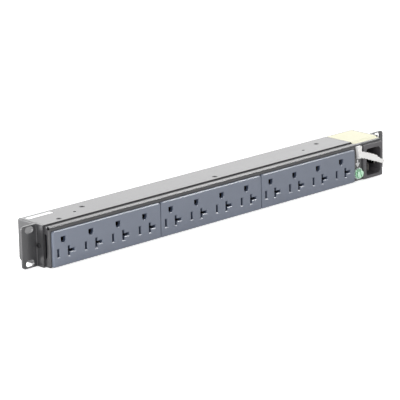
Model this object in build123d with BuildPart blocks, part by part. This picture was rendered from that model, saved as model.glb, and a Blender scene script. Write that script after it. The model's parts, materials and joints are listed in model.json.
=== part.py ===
from build123d import *
import os

os.makedirs("parts", exist_ok=True)

# A rack power distribution unit: one rack unit of sheet steel, three socket modules of four
# outlets, and an appliance inlet at the right end. Millimetres, +Z up, sockets face -Y.
# The origin is on the bottom face, midway between the ears, in the plane of the rack rails,
# which is the rear face of both ears.

# Overall sizes
rack_width = 482.6  # over both ears
ear_reach = 19.2  # edge of an ear to the end of the chassis
height = 40.2  # bottom face to the top of the cover
body_depth = 42.9  # front wall of the chassis to the back of the cover
sheet = 1.2  # steel of the chassis and the cover
panel_proud = 2.5  # socket panels stand this far out of the front wall
ear_setback = 18.0  # socket panels to the front of the ears

# Ears
ear_thickness = 2.0
ear_hole_edge = 8.75  # middle of a slot to the edge of its ear
ear_hole_margin = 4.225  # middle of a slot to the top or bottom of its ear: 31.75 apart
ear_slot_width = 6.6
ear_slot_length = 9.6
ear_corner = 3.0
ear_bend = 0.6  # inside radius of the fold
ear_leg_reach = 9.0  # leg of the bracket in front of the flange
ear_screw_back = 3.1  # from the front of the flange to the screw in the leg
ear_screw_head = 4.6
ear_screw_head_height = 1.4
ear_screw_length = 3.8
pan_edge = 0.6  # chamfer of a domed head

# Folds of the chassis and the cover
lip_bend = 3.0
corner_bend = 1.5
cover_top_bend = 2.0
cover_low_bend = 3.0
lip_overlap = 10.0  # the chassis lip runs on under the cover
cover_setback = 6.5  # front wall to the front edge of the cover
return_width = 9.0  # bottom flange of the cover
fold_gap = 0.4
corner_relief = 1.6  # notch in each front corner where two folds meet
joggle_lead = 0.5  # the inner face of the joggle bends this much earlier
wall_gap = 0.3  # end walls of the cover to the ends of the chassis

# Slots in the ends of the chassis
end_slot_height = 23.5
end_slot_width = 2.8
end_slot_back = 4.9  # front wall to the middle of the slot

# Front of the chassis, from left to right
row_margin = 2.4  # left end to the first socket panel
bay_width = 13.1  # last socket panel to the inlet
inlet_end_gap = 0.2  # inlet to the right end

# Socket modules
module_count = 3
outlets_per_module = 4
panel_gap = 0.6
panel_low = 0.5
panel_drop = 5.6  # top of the cover to the top of a panel
panel_corner = 2.6
panel_foot_corner = 0.9
panel_edge = 0.7
socket_wall = 3.9  # plastic in front of the contacts
module_flange = 2.5  # overlap of the panel on the front wall
window_gap = 0.2
hook_width = 7.0
hook_rise = 0.9
hook_length = 4.8
module_depth = 14.5  # behind the front wall
outlet_left = 12.7  # left end of a panel to its first outlet
outlet_right = 20.1  # last outlet to the right end
slot_drop = 4.35  # blade slots below the middle of the panel
slot_spacing = 12.7
earth_rise = 11.89  # middle of the earth hole above the blade slots
slot_width = 2.3
live_slot_length = 7.5
neutral_slot_length = 9.2
branch_reach = 6.9  # from the middle of the neutral slot to the end of its branch
branch_width = 2.6
earth_hole = 5.5
lead_in = 0.8
base_chamfer = 0.5

# Contacts behind the slots
strip_thickness = 0.8
leaf_thickness = 0.5
leaf_straight = 3.0  # straight root of a leaf
leaf_mouth = 2.4  # flared mouth of a leaf
leaf_width = 6.0
leaf_grip = 1.2  # blade leaves at rest
leaf_root = 3.6
earth_grip = 3.7
earth_root = 5.8
live_strip_width = 3.6
neutral_strip_width = 3.2
earth_strip_width = 5.0
live_strip_margin = 1.4  # above the bottom of the module body
neutral_strip_rise = 5.8  # above the blade slots
pocket_gap = 0.85  # leaves to the walls of their pockets
base_thickness = 4.5
strip_overrun = 8.5  # contact strips past the right end of the last module
spade_length = 8.0
spade_width = 6.3
spade_stagger = 5.0  # the neutral spade stands clear of the earth spade

# Leads inside the housing
lead_size = 2.8
lead_bend = 3.5
lead_sides = 12  # the hidden leads are drawn with flat sides
live_lead_back = 6.4  # back of the cover to the middle of each lead where it crosses to the inlet
neutral_lead_back = 8.8
earth_lead_back = 4.4
sleeve_thickness = 2.8
sleeve_width = 7.4
sleeve_length = 8.0
sleeve_grip = 6.0  # length of spade inside a sleeve
sleeve_round = 0.9

# Appliance inlet
inlet_width = 28.3
inlet_low = 0.4
inlet_drop = 4.1  # top of the cover to the top of the inlet
inlet_flange = 2.0
inlet_corner = 1.0
cavity_width = 21.0
cavity_margin = 3.9  # cavity to the top and bottom of its flange
cavity_right = 0.7  # cavity right of the middle of its flange
cavity_down = 0.7  # and below it
inlet_room = 22.9  # rear of the inlet to the back of the cover
cavity_round = 2.5
cavity_chamfer = 3.0
inlet_wall = 1.0
inlet_back = 3.0
blade_width = 8.0
blade_thickness = 2.0
blade_spacing = 13.0
blade_row = 4.7  # live and neutral blades left of the middle
earth_blade_row = 3.3  # earth blade right of the middle
blade_recess = 3.0
earth_blade_recess = 1.5
blade_tip = 0.9

# Earth screw beside the inlet
stud = 4.8
stud_length = 12.0
stud_height = 8.1
hex_size = 7.9
hex_height = 2.6
hex_flange = 10.4
hex_flange_height = 1.0
drive_slot = 1.3
drive_depth = 1.3
drive_turn = 20.0
washer_size = 12.0
washer_thickness = 0.9
washer_teeth = 12
tooth_gap = 0.9
tooth_depth = 0.6
nut_height = 4.0
link_eye = 9.8  # end of the bonding link under the nut
hole_clearance = 0.2

# Cord retention strap
strap_drop = 7.2  # top of the cover to the hole of the strap
strap_stem = 4.8
strap_barb = 6.4
strap_barb_pitch = 2.4
strap_head_width = 6.2
strap_head_foot = 4.0
strap_head_rise = 3.8  # above its hole
strap_head_fall = 9.0  # and below it
strap_head_depth = 3.2
strap_thickness = 1.3
strap_waist = 0.8  # band between two beads, against their size
# Beads along the band, from the head to the tail: right of the hole, below it, and radius
strap_beads = [
    (0.3, 4.6, 3.3),
    (4.5, 6.0, 3.4),
    (8.9, 7.4, 3.4),
    (13.3, 9.0, 3.5),
    (17.7, 10.7, 3.5),
    (21.9, 12.4, 3.3),
    (25.9, 14.6, 2.6),
    (29.5, 16.4, 2.2),
    (32.9, 17.8, 2.2),
]

# Small fasteners
countersink_head = 5.2
countersunk_shank = 2.9
countersink_angle = 90
cross_share = 0.55  # length of a cross recess against its head
cross_arm = 0.2  # width of its arms against their length
cross_depth = 0.8
cover_screw_shift = -1.2  # the row of screws lies left of the middle
top_screw_edge = 24.1  # from the end of the chassis
top_screw_back = 12.7
top_screw_length = 4.8
stay_screw_edge = 65.3
stay_screw_length = 7.2
foot_screw_edge = 40.0
foot_screw_length = 6.0
module_screw = 2.4
module_screw_head = 4.6
module_screw_head_height = 1.4
module_screw_length = 11.7

# Small round holes in the top of the cover
locating_hole = 3.0
locating_hole_edges = (48.2, 93.5)  # from the left and from the right end of the chassis
locating_hole_back = 19.8  # behind the front wall

# Stays between the floor and the cover
stay_width = 14.0
stay_flange = 7.0

# Labels on the cover
label_thickness = 0.15
caution_length = 36.6
caution_margin = 1.6
caution_back = 3.4
caution_wrap = 50.0  # degrees of the lip's bend that the label follows
name_label_margin = 3.0
name_label_length = 34.0
name_label_width = 7.6
name_label_back = 4.0

# Planes that the sizes above give
panel_face_y = -(ear_setback + ear_thickness)
front_y = panel_face_y + panel_proud
back_y = front_y + body_depth
cover_front_y = front_y + cover_setback
lip_top = height - sheet
lip_rear_y = cover_front_y + lip_overlap
return_front_y = back_y - return_width
joggle_run = 1.5 * sheet
joggle_y = return_front_y - fold_gap - joggle_run
chassis_rear_y = back_y - cover_low_bend - fold_gap / 2
chassis_length = rack_width - 2 * ear_reach
chassis_end = chassis_length / 2
cover_length = chassis_length + 2 * (sheet + wall_gap)
ear_hole_x = rack_width / 2 - ear_hole_edge
ear_hole_pitch = height - 2 * ear_hole_margin
end_wall_front_y = fold_gap
wall_inside_y = front_y + sheet
socket_back_y = panel_face_y + socket_wall
module_rear_y = front_y + module_depth
strip_front_y = module_rear_y
base_rear_y = module_rear_y + base_thickness
panel_high = height - panel_drop
row_left = row_margin - chassis_end
row_length = chassis_length - row_margin - bay_width - inlet_width - inlet_end_gap + panel_gap
module_pitch = row_length / module_count
panel_length = module_pitch - panel_gap
modules = [row_left + panel_length / 2 + module_pitch * step for step in range(module_count)]
outlet_pitch = (panel_length - outlet_left - outlet_right) / (outlets_per_module - 1)
outlets = [outlet_left - panel_length / 2 + outlet_pitch * step for step in range(outlets_per_module)]
slot_height = (panel_low + panel_high) / 2 - slot_drop
earth_height = slot_height + earth_rise
body_low = panel_low + module_flange + window_gap
body_high = panel_high - module_flange
body_length = panel_length - 2 * module_flange
inlet_high = height - inlet_drop
flange_x = chassis_end - inlet_end_gap - inlet_width / 2
flange_z = (inlet_low + inlet_high) / 2
inlet_x = flange_x + cavity_right
inlet_z = flange_z - cavity_down
inlet_face_y = front_y - inlet_flange
inlet_rear_y = back_y - inlet_room
cavity_height = inlet_high - inlet_low - 2 * cavity_margin
bay_x = chassis_end - inlet_end_gap - inlet_width - bay_width / 2
strap_hole_height = height - strap_drop
strip_right_x = modules[-1] + body_length / 2 + strip_overrun
ear_screw_y = -ear_thickness - ear_screw_back
foot_screw_y = (return_front_y + chassis_rear_y) / 2
top_screw_places = [
    (cover_screw_shift + side * (chassis_end - top_screw_edge), front_y + top_screw_back)
    for side in (-1, 0, 1)
]
stay_rear_y = joggle_y - joggle_lead
stay_y = stay_rear_y - stay_flange / 2
stay_screw_places = [
    (cover_screw_shift + side * (chassis_end - stay_screw_edge), stay_y) for side in (-1, 1)
]
foot_screw_places = [(side * (chassis_end - foot_screw_edge), foot_screw_y) for side in (-1, 0, 1)]
locating_hole_places = [
    (side * (chassis_end - edge), front_y + locating_hole_back)
    for side, edge in zip((-1, 1), locating_hole_edges)
]


# A plane that faces the reader of the panel: local x is X, local y is Z, normal is -Y
def upright(y):
    return Plane.XZ.offset(-y)


def finish(piece, name):
    piece.part.label = name
    export_step(piece.part, "parts/" + name + ".step")


# A closed block with the section of a folded sheet: its four long edges have their own radii,
# and its end outlines are rounded from the front side (0) or from the rear side (-1)
def folded_block(length, y_range, z_range, radii, end_radius, rounded_side):
    with BuildPart() as block:
        with BuildSketch(Plane.YZ.offset(-length / 2)) as section:
            with Locations(((y_range[0] + y_range[1]) / 2, (z_range[0] + z_range[1]) / 2)):
                Rectangle(y_range[1] - y_range[0], z_range[1] - z_range[0])
            for column in (0, 1):
                for row in (0, 1):
                    radius = radii[column][row]
                    if radius > 0:
                        wanted = section.vertices().group_by(Axis.X)[-column].sort_by(Axis.Y)[-row]
                        fillet(wanted, radius)
        extrude(amount=length)
        if end_radius > 0:
            upright_edges = block.edges().filter_by(Axis.Z).group_by(Axis.Y)[rounded_side]
            fillet(upright_edges, end_radius)
    return block.part


# Chassis: front wall, top lip, floor and folded ends from one sheet
chassis_outside = folded_block(
    chassis_length,
    (front_y, chassis_rear_y),
    (0, lip_top),
    ((corner_bend, lip_bend), (0, 0)),
    corner_bend,
    0,
)
chassis_inside = folded_block(
    chassis_length - 2 * sheet,
    (wall_inside_y, chassis_rear_y + sheet),
    (sheet, lip_top - sheet),
    ((corner_bend - sheet, lip_bend - sheet), (0, 0)),
    0,
    0,
)
with BuildPart() as chassis:
    add(chassis_outside)
    add(chassis_inside, mode=Mode.SUBTRACT)
    # Relief notches where the end folds meet the folds of the lip and of the floor
    for end_x, inward in ((-chassis_end, corner_relief), (chassis_end, -corner_relief)):
        with BuildSketch(Plane.YZ.offset(end_x)):
            with Locations((front_y, lip_top)):
                Rectangle(2 * lip_bend, 2 * lip_bend)
            with Locations((front_y, 0)):
                Rectangle(2 * corner_bend, 2 * corner_bend)
        extrude(amount=inward, mode=Mode.SUBTRACT)
    # The top is open behind the lip, and the floor stops at its joggle
    with BuildSketch(Plane.XY.offset(lip_top - sheet)):
        with Locations((0, (lip_rear_y + chassis_rear_y + sheet) / 2)):
            Rectangle(chassis_length - 2 * sheet, chassis_rear_y + sheet - lip_rear_y)
    extrude(amount=sheet, mode=Mode.SUBTRACT)
    with BuildSketch(Plane.XY):
        with Locations((0, (joggle_y + chassis_rear_y + sheet) / 2)):
            Rectangle(chassis_length, chassis_rear_y + sheet - joggle_y)
    extrude(amount=sheet, mode=Mode.SUBTRACT)
    # Joggled rear strip of the floor, one sheet higher
    with BuildSketch(Plane.YZ.offset(-chassis_end + sheet)):
        with BuildLine():
            Polyline(
                (joggle_y, 0),
                (joggle_y + joggle_run, sheet),
                (chassis_rear_y, sheet),
                (chassis_rear_y, 2 * sheet),
                (joggle_y + joggle_run - joggle_lead, 2 * sheet),
                (joggle_y - joggle_lead, sheet),
                (joggle_y - joggle_lead, 0),
                close=True,
            )
        make_face()
    extrude(amount=chassis_length - 2 * sheet)
    # Windows for the three socket modules and the inlet, and the two holes between them
    with BuildSketch(upright(front_y)):
        for centre in modules:
            with Locations((centre, (body_low + body_high) / 2)):
                Rectangle(body_length + 2 * window_gap, body_high - body_low + 2 * window_gap)
        with Locations((inlet_x, inlet_z)):
            Rectangle(
                cavity_width + 2 * inlet_wall + 2 * window_gap,
                cavity_height + 2 * inlet_wall + 2 * window_gap,
            )
        with Locations((bay_x, stud_height)):
            Circle((stud + hole_clearance) / 2)
        with Locations((bay_x, strap_hole_height)):
            Circle((strap_stem + hole_clearance) / 2)
    extrude(amount=-sheet, mode=Mode.SUBTRACT)
    # Slot and bracket screw hole in each end
    with BuildSketch(Plane.YZ.offset(-chassis_end)):
        with Locations((front_y + end_slot_back, height / 2)):
            SlotOverall(end_slot_height, end_slot_width, rotation=90)
        with Locations((ear_screw_y, height / 2)):
            Circle((countersunk_shank + hole_clearance) / 2)
    extrude(amount=chassis_length, mode=Mode.SUBTRACT)
    # Screw holes in the lip and in the joggled strip
    with BuildSketch(Plane.XY.offset(lip_top)):
        with Locations(*top_screw_places):
            Circle((countersunk_shank + hole_clearance) / 2)
    extrude(amount=-sheet, mode=Mode.SUBTRACT)
    with BuildSketch(Plane.XY.offset(sheet)):
        with Locations(*foot_screw_places):
            Circle((countersunk_shank + hole_clearance) / 2)
    extrude(amount=sheet, mode=Mode.SUBTRACT)
finish(chassis, "chassis")


# Countersunk holes through the sheet behind each of the planes
def countersunk_holes(seats):
    with Locations(*seats):
        CounterSinkHole(
            (countersunk_shank + hole_clearance) / 2,
            (countersink_head + hole_clearance) / 2,
            depth=2 * sheet,
            counter_sink_angle=countersink_angle,
        )


# Cover: top, back, end walls and a bottom return flange from one sheet
top_seats = [Plane((x, y, height)) for x, y in top_screw_places]
stay_seats = [Plane((x, y, height)) for x, y in stay_screw_places]
foot_seats = [Plane((x, y, 0), x_dir=(1, 0, 0), z_dir=(0, 0, -1)) for x, y in foot_screw_places]
cover_outside = folded_block(
    cover_length,
    (cover_front_y, back_y),
    (0, height),
    ((0, 0), (cover_low_bend, cover_top_bend)),
    corner_bend,
    -1,
)
cover_inside = folded_block(
    cover_length - 2 * sheet,
    (cover_front_y - sheet, back_y - sheet),
    (sheet, lip_top),
    ((0, 0), (cover_low_bend - sheet, cover_top_bend - sheet)),
    0,
    -1,
)
cover_reach = end_wall_front_y - cover_front_y + sheet
with BuildPart() as cover:
    add(cover_outside)
    add(cover_inside, mode=Mode.SUBTRACT)
    with BuildSketch(Plane.XY.offset(-sheet)):
        with Locations((0, end_wall_front_y - cover_reach / 2)):
            Rectangle(cover_length + sheet, cover_reach)
    extrude(amount=lip_top + sheet, mode=Mode.SUBTRACT)
    # The top panel is narrower between the two brackets
    with BuildSketch(Plane.XY.offset(lip_top - sheet)):
        for side in (-1, 1):
            beyond_x = side * (chassis_end - wall_gap + height / 2)
            with Locations((beyond_x, end_wall_front_y - cover_reach / 2)):
                Rectangle(height, cover_reach)
    extrude(amount=3 * sheet, mode=Mode.SUBTRACT)
    # The bottom is open in front of the return flange
    with BuildSketch(Plane.XY.offset(-sheet)):
        with Locations((0, (end_wall_front_y - sheet + return_front_y) / 2)):
            Rectangle(cover_length - 2 * sheet, return_front_y - end_wall_front_y + sheet)
    extrude(amount=2 * sheet, mode=Mode.SUBTRACT)
    with BuildSketch(Plane.XY.offset(height)):
        with Locations(*locating_hole_places):
            Circle(locating_hole / 2)
    extrude(amount=-sheet, mode=Mode.SUBTRACT)
    countersunk_holes([*top_seats, *stay_seats, *foot_seats])
finish(cover, "rear_cover")


# Ear bracket at the right end: a flange for the rack rail and a leg along the chassis end
with BuildPart() as right_ear:
    with BuildSketch(Plane.XY) as fold:
        with BuildLine():
            Polyline(
                (chassis_end, -ear_thickness - ear_leg_reach),
                (chassis_end, 0),
                (rack_width / 2, 0),
                (rack_width / 2, -ear_thickness),
                (chassis_end + ear_thickness, -ear_thickness),
                (chassis_end + ear_thickness, -ear_thickness - ear_leg_reach),
                close=True,
            )
        make_face()
        root = fold.vertices().sort_by_distance((chassis_end, 0, 0))[0]
        fillet(root, ear_bend + ear_thickness)
        notch = fold.vertices().sort_by_distance((chassis_end + ear_thickness, -ear_thickness, 0))[0]
        fillet(notch, ear_bend)
    extrude(amount=height)
    outer_edges = right_ear.edges().filter_by(Axis.Y).group_by(Axis.X)[-1]
    fillet(outer_edges, ear_corner)
    with BuildSketch(upright(0)):
        for side in (-1, 1):
            with Locations((ear_hole_x, height / 2 + side * ear_hole_pitch / 2)):
                SlotOverall(ear_slot_length, ear_slot_width)
    extrude(amount=ear_thickness, mode=Mode.SUBTRACT)
    with BuildSketch(Plane.YZ.offset(chassis_end)):
        with Locations((ear_screw_y, height / 2)):
            Circle((countersunk_shank + hole_clearance) / 2)
    extrude(amount=ear_thickness, mode=Mode.SUBTRACT)
finish(right_ear, "right_ear_bracket")

with BuildPart() as left_ear:
    add(mirror(right_ear.part, about=Plane.YZ, mode=Mode.PRIVATE))
finish(left_ear, "left_ear_bracket")


# Cross recess cut into a screw head whose top lies on the plane
def cross_recess(plane, head_size):
    reach = head_size * cross_share
    with BuildSketch(plane) as cross:
        Rectangle(reach, reach * cross_arm)
        Rectangle(reach * cross_arm, reach)
    extrude(cross.sketch, amount=-cross_depth, mode=Mode.SUBTRACT)


# Countersunk screw with its head flush with the plane and its shank behind it
def countersunk_screw(plane, length):
    with BuildPart() as screw:
        with BuildSketch(plane.rotated((90, 0, 0))):
            with BuildLine():
                Polyline(
                    (0, 0),
                    (countersink_head / 2, 0),
                    (countersunk_shank / 2, -(countersink_head - countersunk_shank) / 2),
                    (countersunk_shank / 2, -length),
                    (0, -length),
                    close=True,
                )
            make_face()
        revolve(axis=Axis(plane.origin, plane.z_dir))
        cross_recess(plane, countersink_head)
    return screw.part


# Screw with a domed head on the seat and a shank behind it
def pan_screw(seat, head_size, head_height, head_edge, shank_size, length):
    with BuildPart() as screw:
        with BuildSketch(seat):
            Circle(head_size / 2)
        extrude(amount=head_height)
        rim = screw.faces().sort_by(Axis(seat.origin, seat.z_dir))[-1].edges()
        chamfer(rim, head_edge)
        with BuildSketch(seat):
            Circle(shank_size / 2)
        extrude(amount=-length)
        cross_recess(seat.offset(head_height), head_size)
    return screw.part


# Alike screws share one piece file, each as a solid of its own
def finish_screws(screws, name):
    with BuildPart() as group:
        for screw in screws:
            add(screw)
    finish(group, name)


finish_screws([countersunk_screw(seat, top_screw_length) for seat in top_seats], "cover_screws")
finish_screws([countersunk_screw(seat, stay_screw_length) for seat in stay_seats], "stay_screws")
finish_screws([countersunk_screw(seat, foot_screw_length) for seat in foot_seats], "foot_screws")

ear_seats = [
    Plane(
        (side * (chassis_end + ear_thickness), ear_screw_y, height / 2),
        x_dir=(0, 1, 0),
        z_dir=(side, 0, 0),
    )
    for side in (-1, 1)
]
ear_screws = [
    pan_screw(
        seat, ear_screw_head, ear_screw_head_height, pan_edge, countersunk_shank, ear_screw_length
    )
    for seat in ear_seats
]
finish_screws(ear_screws, "ear_screws")


# Stays that hold the long cover off the floor
for stay_place, name in zip(stay_screw_places, ("left_cover_stay", "right_cover_stay")):
    with BuildPart() as stay:
        with BuildSketch(Plane.YZ.offset(stay_place[0] - stay_width / 2)) as channel:
            with Locations((stay_y, (sheet + lip_top) / 2)):
                Rectangle(stay_flange, lip_top - sheet)
            with Locations((stay_y - sheet, (sheet + lip_top) / 2)):
                Rectangle(stay_flange, lip_top - 3 * sheet, mode=Mode.SUBTRACT)
            fillet(channel.vertices().group_by(Axis.X)[-1], corner_bend)
        extrude(amount=stay_width)
        with BuildSketch(Plane.XY.offset(lip_top)):
            with Locations(stay_place):
                Circle((countersunk_shank + hole_clearance) / 2)
        extrude(amount=-2 * sheet, mode=Mode.SUBTRACT)
    finish(stay, name)


# Outline of one outlet's openings, round the middle of its blade slots
def outlet_slots(x):
    with Locations((x - slot_spacing / 2, slot_height)):
        Rectangle(slot_width, live_slot_length)
    with Locations((x + slot_spacing / 2, slot_height)):
        Rectangle(slot_width, neutral_slot_length)
    with Locations((x + slot_spacing / 2, slot_height)):
        Rectangle(branch_reach, branch_width, align=(Align.MIN, Align.CENTER))
    with Locations((x, earth_height)):
        Circle(earth_hole / 2)
        Rectangle(earth_hole, earth_hole / 2, align=(Align.CENTER, Align.MIN))


# Half sizes of the room that the contacts need behind the openings
blade_pocket = (leaf_root / 2 + leaf_thickness + pocket_gap, leaf_width / 2 + 2 * pocket_gap)
earth_pocket = (earth_root / 2 + leaf_thickness + pocket_gap, leaf_width / 2 + pocket_gap)
neutral_reach = branch_reach + 2 * pocket_gap


def contact_pockets(x):
    with Locations((x - slot_spacing / 2, slot_height)):
        Rectangle(2 * blade_pocket[0], 2 * blade_pocket[1])
    with Locations((x + slot_spacing / 2 - blade_pocket[0], slot_height)):
        Rectangle(blade_pocket[0] + neutral_reach, 2 * blade_pocket[1], align=(Align.MIN, Align.CENTER))
    with Locations((x, earth_height)):
        Rectangle(2 * earth_pocket[0], 2 * earth_pocket[1])


# Ribs with a ramp that snap behind the front wall, above and below the module
def snap_hook(x, seat_z, up):
    with BuildSketch(Plane.YZ.offset(x - hook_width / 2)) as ramp:
        with BuildLine():
            Polyline(
                (wall_inside_y + hole_clearance / 2, seat_z),
                (wall_inside_y + hole_clearance / 2, seat_z + up * hook_rise),
                (wall_inside_y + hook_length, seat_z),
                close=True,
            )
        make_face()
    extrude(ramp.sketch, amount=hook_width)


# Places for the screws that hold the base of a module, midway between the pockets of two outlets
pocket_right = slot_spacing / 2 + neutral_reach
pocket_left = slot_spacing / 2 + blade_pocket[0]
between_pockets = (outlet_pitch + pocket_right - pocket_left) / 2
base_screws = [outlets[0] + between_pockets, outlets[-2] + between_pockets]
live_strip_z = body_low + live_strip_margin + live_strip_width / 2
channel_low = live_strip_z - live_strip_width / 2 - hole_clearance
channel_high = earth_height + leaf_width / 2 + hole_clearance

for order, centre in enumerate(modules):
    number = str(order + 1)
    with BuildPart() as panel:
        with BuildSketch(upright(front_y)) as plate:
            with Locations((centre, (panel_low + panel_high) / 2)):
                Rectangle(panel_length, panel_high - panel_low)
            fillet(plate.vertices().group_by(Axis.Y)[-1], panel_corner)
            fillet(plate.vertices().group_by(Axis.Y)[0], panel_foot_corner)
        extrude(amount=panel_proud)
        chamfer(panel.faces().sort_by(Axis.Y)[0].edges(), panel_edge)
        with BuildSketch(upright(front_y)):
            with Locations((centre, (body_low + body_high) / 2)):
                Rectangle(body_length, body_high - body_low)
        extrude(amount=-module_depth)
        with BuildSketch(upright(panel_face_y)):
            for offset_x in outlets:
                outlet_slots(centre + offset_x)
        extrude(amount=-(socket_wall + leaf_thickness), mode=Mode.SUBTRACT)
        openings = panel.faces().sort_by(Axis.Y)[0].inner_wires().edges()
        chamfer(openings, lead_in)
        with BuildSketch(upright(module_rear_y)):
            for offset_x in outlets:
                contact_pockets(centre + offset_x)
            for offset_x in base_screws:
                with Locations((centre + offset_x, slot_height)):
                    Circle((module_screw + hole_clearance) / 2)
        extrude(amount=module_rear_y - socket_back_y, mode=Mode.SUBTRACT)
        for offset_x in base_screws:
            snap_hook(centre + offset_x, body_high, 1)
            snap_hook(centre + offset_x, body_low, -1)
    finish(panel, "socket_panel_" + number)

    # Base that closes the module, with a channel for the contact strips
    with BuildPart() as base:
        with BuildSketch(upright(module_rear_y)):
            with Locations((centre, (body_low + body_high) / 2)):
                Rectangle(body_length, body_high - body_low)
        extrude(amount=-base_thickness)
        rear_edges = base.faces().sort_by(Axis.Y)[-1].edges()
        chamfer(rear_edges, base_chamfer)
        with BuildSketch(upright(module_rear_y)):
            with Locations((centre, (channel_low + channel_high) / 2)):
                Rectangle(body_length, channel_high - channel_low)
        extrude(amount=-strip_thickness, mode=Mode.SUBTRACT)
        with BuildSketch(upright(module_rear_y + base_thickness)):
            for offset_x in base_screws:
                with Locations((centre + offset_x, slot_height)):
                    Circle((module_screw + hole_clearance) / 2)
        extrude(amount=base_thickness, mode=Mode.SUBTRACT)
    finish(base, "module_base_" + number)

module_seats = [
    Plane((centre + offset_x, base_rear_y, slot_height), x_dir=(1, 0, 0), z_dir=(0, 1, 0))
    for centre in modules
    for offset_x in base_screws
]
module_screws = [
    pan_screw(
        seat, module_screw_head, module_screw_head_height, pan_edge, module_screw, module_screw_length
    )
    for seat in module_seats
]
finish_screws(module_screws, "module_screws")


# One spring leaf, bent from its strip in to the grip and out again at the mouth: pairs of
# sideways and depth values, which the caller lays flat or upright
def leaf_points(middle, side, root, grip):
    mouth_y = socket_back_y + leaf_thickness
    inner = (
        (root / 2, strip_front_y),
        (root / 2, strip_front_y - leaf_straight),
        (grip / 2, mouth_y + leaf_mouth),
        ((root - leaf_thickness) / 2, mouth_y),
    )
    outer = [(across + leaf_thickness, y) for across, y in reversed(inner)]
    return [(middle + side * across, y) for across, y in (*inner, *outer)]


# Contact strip of all twelve outlets, with a tab and a pair of leaves at each one
def contact_strip(strip_z, strip_width, end_x, contact_z, offset_x, root, grip, branch):
    left_x = modules[0] - body_length / 2
    places = [centre + outlet_x + offset_x for centre in modules for outlet_x in outlets]
    tab_low = min(strip_z, contact_z - leaf_width / 2)
    tab_high = max(strip_z, contact_z + leaf_width / 2)
    with BuildPart() as strip:
        with BuildSketch(upright(strip_front_y)):
            with Locations(((left_x + end_x) / 2, strip_z)):
                Rectangle(end_x - left_x, strip_width)
            for x in places:
                with Locations((x, (tab_low + tab_high) / 2)):
                    Rectangle(root + 2 * leaf_thickness, tab_high - tab_low)
                if branch:
                    with Locations((x, contact_z)):
                        Rectangle(
                            branch_reach, root + 2 * leaf_thickness, align=(Align.MIN, Align.CENTER)
                        )
        extrude(amount=-strip_thickness)
        with BuildSketch(Plane.XY.offset(contact_z - leaf_width / 2)):
            for x in places:
                for side in (-1, 1):
                    with BuildLine():
                        Polyline(*leaf_points(x, side, root, grip), close=True)
                    make_face()
        extrude(amount=leaf_width)
        if branch:
            branch_start = root / 2 + 2 * leaf_thickness
            for x in places:
                with BuildSketch(Plane.YZ.offset(x + branch_start)):
                    for side in (-1, 1):
                        points = leaf_points(contact_z, side, root, grip)
                        with BuildLine():
                            Polyline(*[(y, z) for z, y in points], close=True)
                        make_face()
                extrude(amount=branch_reach - branch_start)
        # The right end folds back into a spade for the lead
        with BuildSketch(Plane.YZ.offset(end_x)):
            with Locations((strip_front_y, strip_z)):
                Rectangle(strip_thickness + spade_length, spade_width, align=(Align.MIN, Align.CENTER))
        extrude(amount=-strip_thickness)
    return strip


neutral_strip_z = slot_height + neutral_strip_rise
neutral_end_x = strip_right_x - spade_stagger
live_strip = contact_strip(
    live_strip_z,
    live_strip_width,
    strip_right_x,
    slot_height,
    -slot_spacing / 2,
    leaf_root,
    leaf_grip,
    False,
)
finish(live_strip, "live_contact_strip")
neutral_strip = contact_strip(
    neutral_strip_z,
    neutral_strip_width,
    neutral_end_x,
    slot_height,
    slot_spacing / 2,
    leaf_root,
    leaf_grip,
    True,
)
finish(neutral_strip, "neutral_contact_strip")
earth_strip = contact_strip(
    earth_height,
    earth_strip_width,
    strip_right_x,
    earth_height,
    0,
    earth_root,
    earth_grip,
    False,
)
finish(earth_strip, "earth_contact_strip")


# Appliance inlet: flange and body with a deep cavity, chamfered beside the earth blade
blade_x = inlet_x - blade_row
earth_blade_x = inlet_x + earth_blade_row
blade_places = (
    ("live_inlet_blade", blade_x, inlet_z - blade_spacing / 2, blade_recess),
    ("neutral_inlet_blade", blade_x, inlet_z + blade_spacing / 2, blade_recess),
    ("earth_inlet_blade", earth_blade_x, inlet_z, earth_blade_recess),
)
with BuildPart() as inlet:
    with BuildSketch(upright(front_y)) as flange:
        with Locations((flange_x, flange_z)):
            RectangleRounded(inlet_width, inlet_high - inlet_low, inlet_corner)
    extrude(amount=inlet_flange)
    chamfer(inlet.faces().sort_by(Axis.Y)[0].edges(), inlet_wall / 2)
    with BuildSketch(upright(front_y)) as body:
        with Locations((inlet_x, inlet_z)):
            Rectangle(cavity_width + 2 * inlet_wall, cavity_height + 2 * inlet_wall)
    extrude(amount=front_y - inlet_rear_y)
    with BuildSketch(upright(inlet_face_y)) as mouth:
        with Locations((inlet_x, inlet_z)):
            Rectangle(cavity_width, cavity_height)
        fillet(mouth.vertices().group_by(Axis.X)[0], cavity_round)
        chamfer(mouth.vertices().group_by(Axis.X)[-1], cavity_chamfer)
    extrude(amount=inlet_face_y - inlet_rear_y + inlet_back, mode=Mode.SUBTRACT)
    with BuildSketch(upright(inlet_face_y)):
        for blade_name, x, z, recess in blade_places:
            with Locations((x, z)):
                Rectangle(blade_thickness, blade_width)
    extrude(amount=inlet_face_y - inlet_rear_y, mode=Mode.SUBTRACT)
    snap_hook(inlet_x, inlet_z + cavity_height / 2 + inlet_wall, 1)
    snap_hook(inlet_x, inlet_z - cavity_height / 2 - inlet_wall, -1)
finish(inlet, "inlet_housing")

for blade_name, x, z, recess in blade_places:
    with BuildPart() as blade:
        with BuildSketch(upright(inlet_face_y + recess)):
            with Locations((x, z)):
                Rectangle(blade_thickness, blade_width)
        extrude(amount=-(inlet_rear_y - inlet_face_y - recess))
        fillet(blade.faces().sort_by(Axis.Y)[0].edges(), blade_tip)
        with BuildSketch(upright(inlet_rear_y)):
            with Locations((x, z)):
                Rectangle(strip_thickness, spade_width)
        extrude(amount=-spade_length)
    finish(blade, blade_name)


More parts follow.
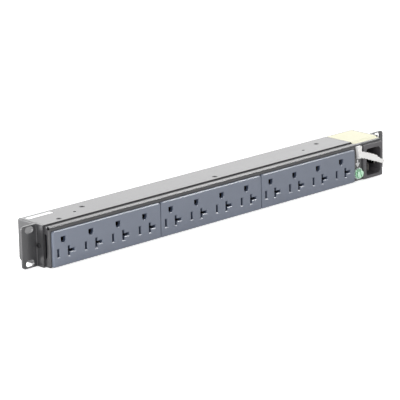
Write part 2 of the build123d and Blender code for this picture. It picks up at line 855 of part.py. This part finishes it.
# Leads inside the housing, each with a push-on sleeve at both ends
lead_runs = (
    ("live_lead", strip_right_x - strip_thickness / 2, live_strip_z, blade_places[0], live_lead_back),
    ("neutral_lead", neutral_end_x - strip_thickness / 2, neutral_strip_z, blade_places[1], neutral_lead_back),
    ("earth_lead", strip_right_x - strip_thickness / 2, earth_height, blade_places[2], earth_lead_back),
)
strip_spade_y = strip_front_y + strip_thickness + spade_length
inlet_spade_y = inlet_rear_y + spade_length


# Sleeve pushed on to a spade that ends at spade_y
def push_on_sleeve(x, z, spade_y):
    start_y = spade_y - sleeve_grip
    with BuildSketch(upright(start_y)) as shell:
        with Locations((x, z)):
            RectangleRounded(sleeve_thickness, sleeve_width, sleeve_round)
    extrude(shell.sketch, amount=-sleeve_length)
    with BuildSketch(upright(start_y)) as slot:
        with Locations((x, z)):
            Rectangle(strip_thickness, spade_width)
    extrude(slot.sketch, amount=-sleeve_grip, mode=Mode.SUBTRACT)


for lead_name, x, z, (blade_name, far_x, far_z, recess), lead_back in lead_runs:
    with BuildPart() as sleeves:
        push_on_sleeve(x, z, strip_spade_y)
        push_on_sleeve(far_x, far_z, inlet_spade_y)
    finish(sleeves, lead_name + "_sleeves")
    start = (x, strip_spade_y - sleeve_grip + sleeve_length, z)
    stop = (far_x, inlet_spade_y - sleeve_grip + sleeve_length, far_z)
    run_y = back_y - lead_back
    with BuildPart() as lead:
        with BuildLine() as route:
            FilletPolyline(start, (x, run_y, z), (far_x, run_y, far_z), stop, radius=lead_bend)
        with BuildSketch(Plane(start, x_dir=(1, 0, 0), z_dir=(0, 1, 0))):
            RegularPolygon(lead_size / 2, lead_sides)
        sweep(path=route.wires()[0])
    finish(lead, lead_name)


# Earth screw: washer head with a drive slot, toothed washer, nut behind the wall
washer_front_y = front_y - washer_thickness
with BuildPart() as earth_screw:
    with BuildSketch(upright(washer_front_y)):
        with Locations((bay_x, stud_height)):
            Circle(hex_flange / 2)
    extrude(amount=hex_flange_height)
    with BuildSketch(upright(washer_front_y - hex_flange_height)):
        with Locations((bay_x, stud_height)):
            RegularPolygon(hex_size / 2, 6, major_radius=False, rotation=drive_turn)
    extrude(amount=hex_height)
    fillet(earth_screw.faces().sort_by(Axis.Y)[0].edges(), leaf_thickness)
    with BuildSketch(upright(washer_front_y - hex_flange_height - hex_height)):
        with Locations((bay_x, stud_height)):
            Rectangle(drive_slot, hex_flange, rotation=drive_turn)
    extrude(amount=-drive_depth, mode=Mode.SUBTRACT)
    with BuildSketch(upright(washer_front_y)):
        with Locations((bay_x, stud_height)):
            Circle(stud / 2)
    extrude(amount=-stud_length)
finish(earth_screw, "earth_screw")

with BuildPart() as washer:
    with BuildSketch(upright(front_y)):
        with Locations((bay_x, stud_height)):
            Circle(washer_size / 2)
            Circle((stud + hole_clearance) / 2, mode=Mode.SUBTRACT)
            with PolarLocations(washer_size / 2, washer_teeth):
                Rectangle(2 * tooth_depth, tooth_gap, mode=Mode.SUBTRACT)
    extrude(amount=washer_thickness)
finish(washer, "toothed_washer")

with BuildPart() as nut:
    with BuildSketch(upright(wall_inside_y)):
        with Locations((bay_x, stud_height)):
            RegularPolygon(hex_size / 2, 6, major_radius=False)
            Circle((stud + hole_clearance / 2) / 2, mode=Mode.SUBTRACT)
    extrude(amount=-nut_height)
finish(nut, "earth_nut")

# Bonding link from the nut up to the earth contact strip
link_y = wall_inside_y + nut_height
with BuildPart() as link:
    with BuildSketch(upright(link_y)):
        with Locations((bay_x, stud_height)):
            Circle(link_eye / 2)
        with Locations((bay_x, stud_height)):
            Rectangle(spade_width, earth_height - stud_height, align=(Align.CENTER, Align.MIN))
        with Locations((bay_x, stud_height)):
            Circle((stud + hole_clearance) / 2, mode=Mode.SUBTRACT)
    extrude(amount=-strip_thickness)
    with BuildSketch(Plane.XY.offset(earth_height)):
        with Locations((bay_x, link_y)):
            Rectangle(spade_width, strip_front_y - link_y, align=(Align.CENTER, Align.MIN))
    extrude(amount=-strip_thickness)
finish(link, "bonding_link")


# Cord retention strap: a tapered head with a push-in stem, and a beaded band across the inlet
strap_face_y = front_y - strap_head_depth
strap_head_low = strap_hole_height - strap_head_fall
strap_head_high = strap_hole_height + strap_head_rise
strap_line = [(bay_x + along, strap_hole_height - fall, radius) for along, fall, radius in strap_beads]
with BuildPart() as strap:
    with BuildSketch(upright(front_y)) as head:
        with BuildLine():
            Polyline(
                (bay_x - strap_head_width / 2, strap_head_high),
                (bay_x + strap_head_width / 2, strap_head_high),
                (bay_x + strap_head_foot / 2, strap_head_low),
                (bay_x - strap_head_foot / 2, strap_head_low),
                close=True,
            )
        make_face()
        fillet(head.vertices(), strap_thickness / 2)
    extrude(amount=strap_head_depth)
    with BuildSketch(upright(front_y)):
        with Locations((bay_x, strap_hole_height)):
            Circle(strap_stem / 2)
    extrude(amount=-(sheet + strap_stem))
    # Barbs of the stem behind the wall
    with BuildSketch(Plane.XY.offset(strap_hole_height)):
        for step in (0, 1):
            barb_y = wall_inside_y + hole_clearance + step * strap_barb_pitch
            with BuildLine():
                Polyline(
                    (bay_x, barb_y),
                    (bay_x + strap_barb / 2, barb_y),
                    (bay_x, barb_y + strap_barb_pitch),
                    close=True,
                )
            make_face()
    revolve(axis=Axis((bay_x, 0, strap_hole_height), (0, 1, 0)))
    with BuildSketch(upright(strap_face_y)):
        for x, z, radius in strap_line:
            with Locations((x, z)):
                Circle(radius)
        for (x, z, radius), (next_x, next_z, next_radius) in zip(strap_line, strap_line[1:]):
            rise = radius * strap_waist
            next_rise = next_radius * strap_waist
            with BuildLine():
                Polyline(
                    (x, z + rise),
                    (next_x, next_z + next_rise),
                    (next_x, next_z - next_rise),
                    (x, z - rise),
                    close=True,
                )
            make_face()
    extrude(amount=strap_thickness)
finish(strap, "retention_strap")


# Labels, both bare: one drapes over the edge of the cover on to the lip
lap_y = cover_front_y - fold_gap - sheet
bend_y = front_y + lip_bend
bend_z = lip_top - lip_bend
with BuildPart() as caution:
    with BuildSketch(Plane.YZ.offset(chassis_end - caution_margin)):
        with BuildLine():
            under = CenterArc((bend_y, bend_z), lip_bend, 90, caution_wrap)
            over = CenterArc((bend_y, bend_z), lip_bend + label_thickness, 90, caution_wrap)
            Polyline(
                under @ 0,
                (lap_y, lip_top),
                (cover_front_y, height),
                (back_y - caution_back, height),
                (back_y - caution_back, height + label_thickness),
                (cover_front_y, height + label_thickness),
                (lap_y, lip_top + label_thickness),
                over @ 0,
            )
            Line(under @ 1, over @ 1)
        make_face()
    extrude(amount=-caution_length)
finish(caution, "caution_label")

with BuildPart() as name_label:
    with BuildSketch(Plane.XY.offset(height)):
        with Locations((name_label_margin - chassis_end, back_y - name_label_back)):
            Rectangle(name_label_length, name_label_width, align=(Align.MIN, Align.MAX))
    extrude(amount=label_thickness)
finish(name_label, "name_label")
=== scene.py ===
import json
import math
import bmesh
import bpy
from mathutils import Matrix, Vector


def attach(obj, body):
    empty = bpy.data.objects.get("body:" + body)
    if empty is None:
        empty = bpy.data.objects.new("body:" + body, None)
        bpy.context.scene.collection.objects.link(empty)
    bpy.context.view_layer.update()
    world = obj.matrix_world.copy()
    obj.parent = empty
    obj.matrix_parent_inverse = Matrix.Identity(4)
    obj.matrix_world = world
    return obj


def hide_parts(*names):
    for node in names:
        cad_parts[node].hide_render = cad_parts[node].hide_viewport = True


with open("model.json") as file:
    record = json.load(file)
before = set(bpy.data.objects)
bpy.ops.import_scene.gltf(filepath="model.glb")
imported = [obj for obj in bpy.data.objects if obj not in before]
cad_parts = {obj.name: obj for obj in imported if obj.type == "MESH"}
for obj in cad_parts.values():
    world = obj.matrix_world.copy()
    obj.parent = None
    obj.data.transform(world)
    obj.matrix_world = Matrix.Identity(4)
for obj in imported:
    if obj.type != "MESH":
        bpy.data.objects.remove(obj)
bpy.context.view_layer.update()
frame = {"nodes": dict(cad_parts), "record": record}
print("frame loaded with", len(frame["nodes"]), "nodes")

mm = 0.001

# Camera at the angle of the photograph
cameraValues = {
    "position": (-1647.5, -1730.2, 680.9),  # mm
    "azimuth": 43.302,  # degrees, from +Y towards +X
    "down": 15.555,  # degrees below the horizon
    "roll": -1.265,  # degrees
    "lens": 230.38,  # mm, on the camera's own 36 mm sensor
    "farClip": 50,  # metres
}


def makeCamera(values):
    azimuth = math.radians(values["azimuth"])
    down = math.radians(values["down"])
    roll = math.radians(values["roll"])
    forward = Vector((
        math.sin(azimuth) * math.cos(down),
        math.cos(azimuth) * math.cos(down),
        -math.sin(down),
    ))
    right = forward.cross(Vector((0, 0, 1))).normalized()
    up = right.cross(forward)
    right, up = (
        math.cos(roll) * right + math.sin(roll) * up,
        math.cos(roll) * up - math.sin(roll) * right,
    )
    camera = bpy.data.objects.new("camera", bpy.data.cameras.new("camera"))
    camera.data.lens = values["lens"]
    camera.data.clip_end = values["farClip"]
    turn = Matrix((right, up, -forward)).transposed()
    camera.matrix_world = Matrix.Translation(Vector(values["position"]) * mm) @ turn.to_4x4()
    bpy.context.scene.collection.objects.link(camera)
    bpy.context.scene.camera = camera


makeCamera(cameraValues)
print("camera placed")

# Soft boxes in metres and watts, aimed at the middle of the object unless an aim is given
lampValues = {
    "overBox": {"position": (1.41, 0.44, 1.62), "size": (1.6, 0.95), "power": 19},
    "rearBox": {"position": (1.5, 1.66, 0.95), "size": (3.2, 1.7), "power": 19.5},
    "keyBox": {"position": (1.41, -0.64, 1.56), "size": (0.3, 0.58), "power": 10.5},
    "leftBox": {"position": (-1.9, 1.6, 0.4), "size": (1.8, 0.8), "power": 31},
    "frontBox": {"position": (-0.7, -2.4, 1.5), "size": (1.8, 1.2), "power": 28},
    "sideBox": {"position": (-2.2, -0.8, 0.5), "size": (1.2, 1.0), "power": 19},
    # Small box over the floor beside the left end
    "floorBox": {
        "position": (-0.42, 0.2, 0.3),
        "aim": (-0.42, 0.2, 0),
        "size": (0.35, 0.35),
        "power": 1.8,
    },
}


def makeLamp(name, values):
    lamp = bpy.data.objects.new(name, bpy.data.lights.new(name, "AREA"))
    lamp.data.shape = "RECTANGLE"
    lamp.data.size, lamp.data.size_y = values["size"]
    lamp.data.energy = values["power"]
    lamp.visible_camera = False
    place = Vector(values["position"])
    aim = Vector(values.get("aim", (0, 0, 0)))
    lamp.location = place
    lamp.rotation_euler = (aim - place).to_track_quat("-Z", "Y").to_euler()
    bpy.context.scene.collection.objects.link(lamp)


for lampName, values in lampValues.items():
    makeLamp(lampName, values)
print("lamps placed")

# Sockets of a Mix node for colours, which share their names with those for numbers
mixFactor, mixFrom, mixTo, mixResult = 0, 6, 7, 2


# One node with its settings and its links
def addNode(tree, kind, settings=None, links=None):
    node = tree.nodes.new(kind)
    for name, value in (settings or {}).items():
        if isinstance(name, int) or name in node.inputs:
            node.inputs[name].default_value = value
        else:
            setattr(node, name, value)
    for name, source in (links or {}).items():
        tree.links.new(source, node.inputs[name])
    return node


# Linear colour of an sRGB hex value, by the curve of the sRGB standard
def colour(hexValue):
    channels = [int(hexValue[place : place + 2], 16) / 255 for place in (1, 3, 5)]
    linear = [c / 12.92 if c <= 0.04045 else ((c + 0.055) / 1.055) ** 2.4 for c in channels]
    return (*linear, 1)


# Scale of a noise pattern whose features have this size in mm
def perMm(size):
    return 1 / (size * mm)


def startMaterial(name):
    material = bpy.data.materials.new(name)
    material.use_nodes = True
    tree = material.node_tree
    tree.nodes.clear()
    place = addNode(tree, "ShaderNodeTexCoord").outputs["Object"]
    return material, tree, place


def endMaterial(tree, shader):
    addNode(tree, "ShaderNodeOutputMaterial", {}, {"Surface": shader.outputs[0]})


# Mask of the painted shade: 1 inside the openings of the socket panels, 0 on their faces and rims
def insideMask(tree, place, values):
    axes = addNode(tree, "ShaderNodeSeparateXYZ", {}, {0: place})
    along = addNode(
        tree,
        "ShaderNodeMath",
        {"operation": "SUBTRACT", 1: values["middle"][0] * mm},
        {0: axes.outputs["X"]},
    )
    half = values["pitch"] / 2 * mm
    wrapped = addNode(
        tree,
        "ShaderNodeMath",
        {"operation": "WRAP", 1: half, 2: -half},
        {0: along.outputs[0]},
    )
    rise = addNode(
        tree,
        "ShaderNodeMath",
        {"operation": "SUBTRACT", 1: values["middle"][1] * mm},
        {0: axes.outputs["Z"]},
    )
    mask = addNode(
        tree,
        "ShaderNodeMath",
        {"operation": "GREATER_THAN", 1: values["face"] * mm},
        {0: axes.outputs["Y"]},
    )
    for offset, reach in zip((wrapped, rise), values["reach"]):
        size = addNode(
            tree, "ShaderNodeMath", {"operation": "ABSOLUTE"}, {0: offset.outputs[0]}
        )
        near = addNode(
            tree,
            "ShaderNodeMath",
            {"operation": "LESS_THAN", 1: reach * mm},
            {0: size.outputs[0]},
        )
        mask = addNode(
            tree,
            "ShaderNodeMath",
            {"operation": "MULTIPLY"},
            {0: mask.outputs[0], 1: near.outputs[0]},
        )
    return mask.outputs[0]


# The shader of a finish: its tone, gloss and relief each follow a noise pattern
# Where a painted shade is given, the inside of the panel openings is painted darker, for the shade
# that falls there
def dressSurface(tree, place, values, toneBy, glossBy, reliefBy, settings):
    tone = addNode(
        tree,
        "ShaderNodeMix",
        {
            "data_type": "RGBA",
            mixFrom: colour(values["dark"]),
            mixTo: colour(values["light"]),
        },
        {mixFactor: toneBy.outputs["Fac"]},
    )
    if "inside" in values:
        inside = values["inside"]
        tone = addNode(
            tree,
            "ShaderNodeMix",
            {"data_type": "RGBA", mixTo: colour(inside["colour"])},
            {mixFactor: insideMask(tree, place, inside), mixFrom: tone.outputs[mixResult]},
        )
    gloss = addNode(
        tree,
        "ShaderNodeMapRange",
        {"To Min": values["roughness"][0], "To Max": values["roughness"][1]},
        {"Value": glossBy.outputs["Fac"]},
    )
    relief = addNode(
        tree,
        "ShaderNodeBump",
        {"Strength": values["reliefStrength"], "Distance": values["reliefHeight"] * mm},
        {"Height": reliefBy.outputs["Fac"]},
    )
    shader = addNode(
        tree,
        "ShaderNodeBsdfPrincipled",
        settings,
        {
            "Base Color": tone.outputs[mixResult],
            "Roughness": gloss.outputs["Result"],
            "Normal": relief.outputs["Normal"],
        },
    )
    endMaterial(tree, shader)


# Semi-gloss black polyester powder, baked on sheet steel: a slight orange peel, and a sheen that
# grows at a low angle
paintValues = {
    "dark": "#3b3b3d",
    "light": "#434345",
    "roughness": (0.27, 0.36),
    "ior": 1.5,
    "coat": 0.6,
    "coatRoughness": 0.2,
    "cloudSize": 26,  # mm
    "cloudDetail": 4,
    "cloudBreakup": 0.6,
    "peelSize": 1.6,  # mm
    "peelDetail": 2,
    "reliefHeight": 0.012,  # mm
    "reliefStrength": 0.6,
}


def blackPowderCoat(values):
    material, tree, place = startMaterial("black powder coat")
    cloud = addNode(
        tree,
        "ShaderNodeTexNoise",
        {
            "Scale": perMm(values["cloudSize"]),
            "Detail": values["cloudDetail"],
            "Roughness": values["cloudBreakup"],
        },
        {"Vector": place},
    )
    peel = addNode(
        tree,
        "ShaderNodeTexNoise",
        {"Scale": perMm(values["peelSize"]), "Detail": values["peelDetail"]},
        {"Vector": place},
    )
    settings = {
        "IOR": values["ior"],
        "Coat Weight": values["coat"],
        "Coat Roughness": values["coatRoughness"],
    }
    dressSurface(tree, place, values, cloud, cloud, peel, settings)
    return material


# What all the moulded surfaces share: a fine grit from the spark-eroded mould, drawn coarser than
# the real 0.05 mm so that it shows, and a slow drift of tone
mouldGrain = {
    "driftDetail": 3,
    "gritDetail": 3,
    "gritBreakup": 0.7,
    "reliefStrength": 0.5,
}
glassFilledNylon = {
    **mouldGrain,
    "roughness": (0.34, 0.5),
    "gritSize": 0.5,
    "reliefHeight": 0.012,
    "driftSize": 18,
    "ior": 1.53,
}
vinylSheath = {
    **mouldGrain,
    "roughness": (0.25, 0.35),
    "gritSize": 0.8,
    "reliefHeight": 0.006,
    "driftSize": 8,
    "ior": 1.53,
}
labelStock = {
    **mouldGrain,
    "gritSize": 0.5,
    "reliefHeight": 0.006,
    "driftSize": 12,
    "ior": 1.35,
}

# By material slot, with sizes and heights in mm
plasticValues = {
    # Slate polycarbonate of the socket panels: a soft sheen, with glints on the rims
    "slate_plastic": {
        **mouldGrain,
        "name": "slate polycarbonate",
        "dark": "#707785",
        "light": "#787f8e",
        "roughness": (0.21, 0.3),
        "gritSize": 0.6,
        "reliefHeight": 0.006,
        "driftSize": 40,
        "ior": 1.58,
        # Painted shade: a darker slate inside the openings, where shade falls
        "inside": {
            "colour": "#525b6e",
            "face": -19.1,  # Y behind which the openings begin, past their chamfers
            "middle": (-19.6, 17.55),  # X and Z of the middle panel
            "reach": (65.6, 15.8),  # from its middle to just inside its edges
            "pitch": 133.6,  # from one panel to the next
        },
    },
    # Black glass-filled nylon of the module bases: dull and faintly mottled
    "black_plastic": {
        **glassFilledNylon,
        "name": "black nylon",
        "dark": "#1e1c1e",
        "light": "#282628",
    },
    # The same nylon on the inlet, a greyer black
    "inlet_plastic": {
        **glassFilledNylon,
        "name": "grey black nylon",
        "dark": "#525053",
        "light": "#5b595c",
    },
    # Natural moulded nylon of the strap: milky white and slightly waxy
    "white_nylon": {
        **mouldGrain,
        "name": "natural nylon",
        "dark": "#f6f5f3",
        "light": "#fcfbf9",
        "roughness": (0.35, 0.5),
        "gritSize": 0.7,
        "reliefHeight": 0.01,
        "driftSize": 6,
        "ior": 1.53,
    },
    # Nylon of the push-on sleeves: as waxy, but creamier
    "sleeve_nylon": {
        **mouldGrain,
        "name": "sleeve nylon",
        "dark": "#d2cfc6",
        "light": "#dedbd2",
        "roughness": (0.35, 0.5),
        "gritSize": 0.5,
        "reliefHeight": 0.01,
        "driftSize": 5,
        "ior": 1.53,
    },
    # Extruded vinyl sheaths of the leads: smooth, with a soft gloss
    "black_wire": {
        **vinylSheath,
        "name": "black vinyl",
        "dark": "#121212",
        "light": "#1a1a1a",
    },
    "white_wire": {
        **vinylSheath,
        "name": "white vinyl",
        "dark": "#dcdcd8",
        "light": "#e8e8e4",
    },
    "green_wire": {
        **vinylSheath,
        "name": "green vinyl",
        "dark": "#1f7a3a",
        "light": "#278a45",
    },
    # Coated label stock: flat and matte, almost without a sheen
    "yellow_label": {
        **labelStock,
        "name": "pale yellow label stock",
        "dark": "#f1efd2",
        "light": "#f7f5de",
        "roughness": (0.6, 0.75),
    },
    "white_label": {
        **labelStock,
        "name": "white label stock",
        "dark": "#eeeeee",
        "light": "#f6f6f6",
        "roughness": (0.5, 0.65),
    },
}


def mouldedPlastic(values):
    material, tree, place = startMaterial(values["name"])
    drift = addNode(
        tree,
        "ShaderNodeTexNoise",
        {"Scale": perMm(values["driftSize"]), "Detail": values["driftDetail"]},
        {"Vector": place},
    )
    grit = addNode(
        tree,
        "ShaderNodeTexNoise",
        {
            "Scale": perMm(values["gritSize"]),
            "Detail": values["gritDetail"],
            "Roughness": values["gritBreakup"],
        },
        {"Vector": place},
    )
    dressSurface(tree, place, values, drift, grit, grit, {"IOR": values["ior"]})
    return material


# What all the metals share: fine marks of rolling or plating, drawn coarser than the real ones so
# that they show
metalGrain = {
    "markDetail": 4,
    "markBreakup": 0.65,
    "reliefStrength": 0.4,
}

# By material slot, with sizes and heights in mm; a low stretch draws the marks out along its axis
metalValues = {
    # Bright zinc plate: cool silver with a broken gloss
    "zinc_steel": {
        **metalGrain,
        "name": "zinc plate",
        "dark": "#c9ccd0",
        "light": "#e0e2e4",
        "metallic": 1,
        "roughness": (0.28, 0.42),
        "stretch": (1, 1, 1),
        "markSize": 1.2,
        "reliefHeight": 0.008,
    },
    # Oiled black oxide on screws: a dull, near-black skin
    "black_screws": {
        **metalGrain,
        "name": "black oxide",
        "dark": "#1b1b1d",
        "light": "#28282a",
        "metallic": 0.3,
        "roughness": (0.5, 0.62),
        "stretch": (1, 1, 1),
        "markSize": 0.7,
        "reliefHeight": 0.01,
    },
    # Rolled cartridge brass of the contacts, in a colour darkened as painted shade, so that it
    # stays dark in the openings
    "contact_brass": {
        **metalGrain,
        "name": "rolled brass",
        "dark": "#3a3027",
        "light": "#4a3e30",
        "metallic": 1,
        "roughness": (0.25, 0.4),
        "stretch": (0.1, 1, 1),
        "markSize": 0.4,
        "reliefHeight": 0.006,
    },
    # Nickel plate on the inlet blades: a tight, warm grey gloss, its colour darkened as painted
    # shade of the deep inlet cavity
    "plated_brass": {
        **metalGrain,
        "name": "nickel plate",
        "dark": "#4f4c4a",
        "light": "#625f5b",
        "metallic": 1,
        "roughness": (0.18, 0.3),
        "stretch": (1, 0.1, 1),
        "markSize": 0.4,
        "reliefHeight": 0.006,
    },
    # Green dyed zinc on the earth screw: pale, with hard glints
    "green_screw": {
        **metalGrain,
        "name": "green dyed zinc",
        "dark": "#a6d6b4",
        "light": "#d8f2df",
        "metallic": 0.8,
        "roughness": (0.14, 0.24),
        "stretch": (1, 1, 1),
        "markSize": 0.6,
        "reliefHeight": 0.008,
    },
}


def metalFinish(values):
    material, tree, place = startMaterial(values["name"])
    stretched = addNode(
        tree, "ShaderNodeMapping", {"Scale": values["stretch"]}, {"Vector": place}
    )
    marks = addNode(
        tree,
        "ShaderNodeTexNoise",
        {
            "Scale": perMm(values["markSize"]),
            "Detail": values["markDetail"],
            "Roughness": values["markBreakup"],
        },
        {"Vector": stretched.outputs["Vector"]},
    )
    dressSurface(tree, place, values, marks, marks, marks, {"Metallic": values["metallic"]})
    return material


finishes = {"black_steel": blackPowderCoat(paintValues)}
for slot, values in plasticValues.items():
    finishes[slot] = mouldedPlastic(values)
for slot, values in metalValues.items():
    finishes[slot] = metalFinish(values)
for subpart in frame["record"]["subparts"]:
    mesh = frame["nodes"][subpart["node"]].data
    mesh.materials.clear()
    mesh.materials.append(finishes[subpart["material_slot"]])
print("finishes given to the CAD nodes")

# Floor and surroundings: white to the camera, paler in what the object mirrors, soft as a light
floorValues = {
    "size": 12,  # metres
    "drop": 0.3,  # mm below the object, so that the two don't share a plane
    "dark": "#e6e6e6",
    "light": "#ececec",
    "grainSize": 300,  # mm
    "grainDetail": 2,
    "glow": 0.62,  # strength that the camera sees on the floor
    "worldLight": 0.12,  # strength of the surroundings as a light
    "worldSeen": 1.0,  # strength of the surroundings that the camera sees
    "mirrored": 0.5,  # share of both that reflections see
}


# 1 for what the camera sees, also through a clear surface, and a share of it for reflections
def seenRays(tree, share):
    path = addNode(tree, "ShaderNodeLightPath")
    mirrored = addNode(
        tree,
        "ShaderNodeMath",
        {"operation": "MULTIPLY", 1: share},
        {0: path.outputs["Is Glossy Ray"]},
    )
    seen = addNode(
        tree,
        "ShaderNodeMath",
        {"operation": "MAXIMUM"},
        {0: path.outputs["Is Camera Ray"], 1: mirrored.outputs[0]},
    )
    seen = addNode(
        tree,
        "ShaderNodeMath",
        {"operation": "MAXIMUM"},
        {0: seen.outputs[0], 1: path.outputs["Is Transmission Ray"]},
    )
    return seen.outputs[0]


# The floor is clear from below, so that the underside of the object can be looked at
def makeFloor(values):
    shape = bmesh.new()
    place = Matrix.Translation((0, 0, -values["drop"] * mm))
    half = values["size"] / 2
    bmesh.ops.create_grid(shape, x_segments=1, y_segments=1, size=half, matrix=place)
    mesh = bpy.data.meshes.new("floor")
    shape.to_mesh(mesh)
    shape.free()
    floor = bpy.data.objects.new("floor", mesh)
    bpy.context.scene.collection.objects.link(floor)
    material, tree, place = startMaterial("pale floor")
    grain = addNode(
        tree,
        "ShaderNodeTexNoise",
        {"Scale": perMm(values["grainSize"]), "Detail": values["grainDetail"]},
        {"Vector": place},
    )
    tone = addNode(
        tree,
        "ShaderNodeMix",
        {
            "data_type": "RGBA",
            mixFrom: colour(values["dark"]),
            mixTo: colour(values["light"]),
        },
        {mixFactor: grain.outputs["Fac"]},
    )
    matte = addNode(tree, "ShaderNodeBsdfDiffuse", {}, {"Color": tone.outputs[mixResult]})
    level = addNode(
        tree,
        "ShaderNodeMath",
        {"operation": "MULTIPLY", 1: values["glow"]},
        {0: seenRays(tree, values["mirrored"])},
    )
    glow = addNode(tree, "ShaderNodeEmission", {}, {"Strength": level.outputs[0]})
    both = addNode(tree, "ShaderNodeAddShader", {}, {0: matte.outputs[0], 1: glow.outputs[0]})
    clear = addNode(tree, "ShaderNodeBsdfTransparent")
    underside = addNode(tree, "ShaderNodeNewGeometry").outputs["Backfacing"]
    shown = addNode(
        tree,
        "ShaderNodeMixShader",
        {},
        {0: underside, 1: both.outputs[0], 2: clear.outputs[0]},
    )
    endMaterial(tree, shown)
    mesh.materials.append(material)


def makeWorld(values):
    world = bpy.data.worlds.new("studio")
    bpy.context.scene.world = world
    world.use_nodes = True
    tree = world.node_tree
    tree.nodes.clear()
    level = addNode(
        tree,
        "ShaderNodeMapRange",
        {"To Min": values["worldLight"], "To Max": values["worldSeen"]},
        {"Value": seenRays(tree, values["mirrored"])},
    )
    light = addNode(
        tree,
        "ShaderNodeBackground",
        {"Color": (1, 1, 1, 1)},
        {"Strength": level.outputs["Result"]},
    )
    addNode(tree, "ShaderNodeOutputWorld", {}, {"Surface": light.outputs[0]})


makeFloor(floorValues)
makeWorld(floorValues)
bpy.context.scene.view_settings.view_transform = "Standard"
print("floor and surroundings made")

# Labels cut to the length that the photograph shows, each a copy of its CAD label. A cut is a point
# in mm and the way to what goes.
labelValues = {
    "caution_label": {
        "slot": "yellow_label",
        "cuts": [((0, -15.5, 0), (0, -1, 0))],
    },
    "name_label": {
        "slot": "white_label",
        "cuts": [((-190, 0, 0), (1, 0, 0)), ((0, 19, 0), (0, 1, 0))],
    },
}
mergeDistance = 0.001  # mm, joins the loose triangles of a CAD mesh


def trimLabel(node, cuts):
    shape = bmesh.new()
    shape.from_mesh(frame["nodes"][node].data)
    bmesh.ops.remove_doubles(shape, verts=shape.verts[:], dist=mergeDistance * mm)
    for point, outward in cuts:
        everything = shape.verts[:] + shape.edges[:] + shape.faces[:]
        cut = bmesh.ops.bisect_plane(
            shape,
            geom=everything,
            plane_co=Vector(point) * mm,
            plane_no=outward,
            clear_outer=True,
        )
        rim = [item for item in cut["geom_cut"] if isinstance(item, bmesh.types.BMEdge)]
        bmesh.ops.contextual_create(shape, geom=rim)
    bmesh.ops.recalc_face_normals(shape, faces=shape.faces[:])
    mesh = bpy.data.meshes.new("cut_" + node)
    shape.to_mesh(mesh)
    shape.free()
    label = bpy.data.objects.new("cut_" + node, mesh)
    bpy.context.scene.collection.objects.link(label)
    mesh.materials.append(frame["nodes"][node].data.materials[0])
    return label


for node, values in labelValues.items():
    label = trimLabel(node, values["cuts"])
    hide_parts(node)
    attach(label, "root")
print("labels trimmed")

# Earth mark printed beside the inlet, in mm: a stem on three bars
earthMarkValues = {
    "x": 186.9,  # middle of the mark
    "high": 22.5,  # top of the stem
    "bars": ((18.4, 5.2), (16.9, 3.4), (15.5, 1.6)),  # height and length of each bar
    "line": 1.35,  # width of the strokes
    "wall": -17.5,  # front wall of the chassis
    "ink": 0.05,  # thickness of the print
}


def printEarthMark(values):
    low, high = values["bars"][0][0], values["high"]
    strokes = [((low + high) / 2, values["line"], high - low)]
    strokes += [(height, length, values["line"]) for height, length in values["bars"]]
    shape = bmesh.new()
    for z, width, tall in strokes:
        size = Matrix.Diagonal((width * mm, values["ink"] * mm, tall * mm, 1))
        middle = Vector((values["x"], values["wall"] - values["ink"] / 2, z)) * mm
        bmesh.ops.create_cube(shape, size=1, matrix=Matrix.Translation(middle) @ size)
    mesh = bpy.data.meshes.new("earthMark")
    shape.to_mesh(mesh)
    shape.free()
    mark = bpy.data.objects.new("earthMark", mesh)
    bpy.context.scene.collection.objects.link(mark)
    mark.data.materials.append(finishes["white_label"])
    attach(mark, "root")


printEarthMark(earthMarkValues)
print("earth mark printed")
